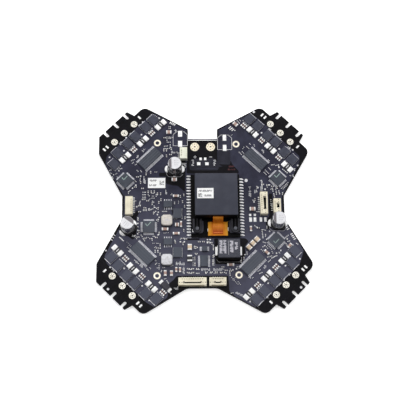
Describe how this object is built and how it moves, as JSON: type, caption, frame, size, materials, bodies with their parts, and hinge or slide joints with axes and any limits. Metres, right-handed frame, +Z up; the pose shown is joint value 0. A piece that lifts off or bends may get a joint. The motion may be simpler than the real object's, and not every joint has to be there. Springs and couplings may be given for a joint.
{
  "type": "electronic speed controller",
  "caption": "Black X-shaped circuit board that drives the motors of a multirotor, with transistors on each arm, a cushioned sensor block on a module, capacitor cans and cream connectors.",
  "frame": {"origin": "centre of the board's outline on its underside", "axes": "+Z up out of the component side, +Y towards the edge with the two power pads, +X to the right seen from above"},
  "size_m": [0.1223, 0.1232, 0.0121],
  "materials": {
    "black_circuit_board": "solder-masked glass fibre",
    "gold_plating": "satin",
    "tinned_pad": "satin",
    "chip_package": "moulded epoxy",
    "resistor_body": "coated",
    "brown_ceramic": "fired",
    "cream_ceramic": "fired",
    "can_aluminium": "satin",
    "black_base_plastic": "moulded",
    "dark_ferrite": "coated",
    "pale_ferrite": "coated",
    "cream_nylon": "moulded",
    "grey_cover_plastic": "fine matt",
    "base_weight": "anodised",
    "black_foam": "open cell",
    "grey_rubber": "matt",
    "amber_film": "polyimide film",
    "label_paper": "matt"
  },
  "bodies": {
    "board": {"bare_pads": "tinned_pad", "board_label": "label_paper", "capacitor_bases": "black_base_plastic", "capacitor_cans": "can_aluminium", "capacitor_terminals": "tinned_pad", "chip_banks": "brown_ceramic", "chip_capacitors": "brown_ceramic", "chip_end_caps": "tinned_pad", "connector_bottom_long": "cream_nylon", "connector_bottom_short": "cream_nylon", "connector_contacts": "tinned_pad", "connector_left": "cream_nylon", "connector_right_inner": "cream_nylon", "connector_right_outer": "cream_nylon", "connector_top": "cream_nylon", "diode_body": "chip_package", "filter_inductor_bases": "black_base_plastic", "filter_inductor_cores": "pale_ferrite", "flex_head": "amber_film", "flex_strip": "amber_film", "foam_pads": "black_foam", "gate_driver_leads": "tinned_pad", "gate_driver_lower_left": "chip_package", "gate_driver_lower_right": "chip_package", "gate_driver_upper_left": "chip_package", "gate_driver_upper_right": "chip_package", "large_chip_capacitors": "cream_ceramic", "main_board": "black_circuit_board", "module_board": "black_circuit_board", "module_solder_joints": "tinned_pad", "mosfet_leads": "tinned_pad", "mosfets_lower_left": "chip_package", "mosfets_lower_right": "chip_package", "mosfets_upper_left": "chip_package", "mosfets_upper_right": "chip_package", "motor_controller_leads": "tinned_pad", "motor_controller_lower_left": "chip_package", "motor_controller_lower_right": "chip_package", "motor_controller_upper_left": "chip_package", "motor_controller_upper_right": "chip_package", "motor_pads": "tinned_pad", "mounting_ring_pads": "gold_plating", "power_inductor_body": "dark_ferrite", "power_inductor_terminals": "tinned_pad", "power_pads": "tinned_pad", "rubber_cradles": "grey_rubber", "shunt_resistors_lower_left": "resistor_body", "shunt_resistors_lower_right": "resistor_body", "shunt_resistors_upper_left": "resistor_body", "shunt_resistors_upper_right": "resistor_body", "shunt_terminals": "tinned_pad", "small_chip_leads": "tinned_pad", "small_chip_packages": "chip_package", "tiny_chips": "cream_ceramic"},
    "sensor_block": {"sensor_cover": "grey_cover_plastic", "sensor_base": "base_weight", "sensor_board": "black_circuit_board", "tether_pins": "grey_rubber", "module_label": "label_paper"}
  },
  "joints": [
    {"name": "block_float", "type": "slide", "parent": "board", "child": "sensor_block", "axis": [0, 0, 1], "range_m": [-0.0004, 0.0003], "stiffness_N_per_m": 2000, "deforming": ["foam_pads", "flex_strip"]}
  ]
}
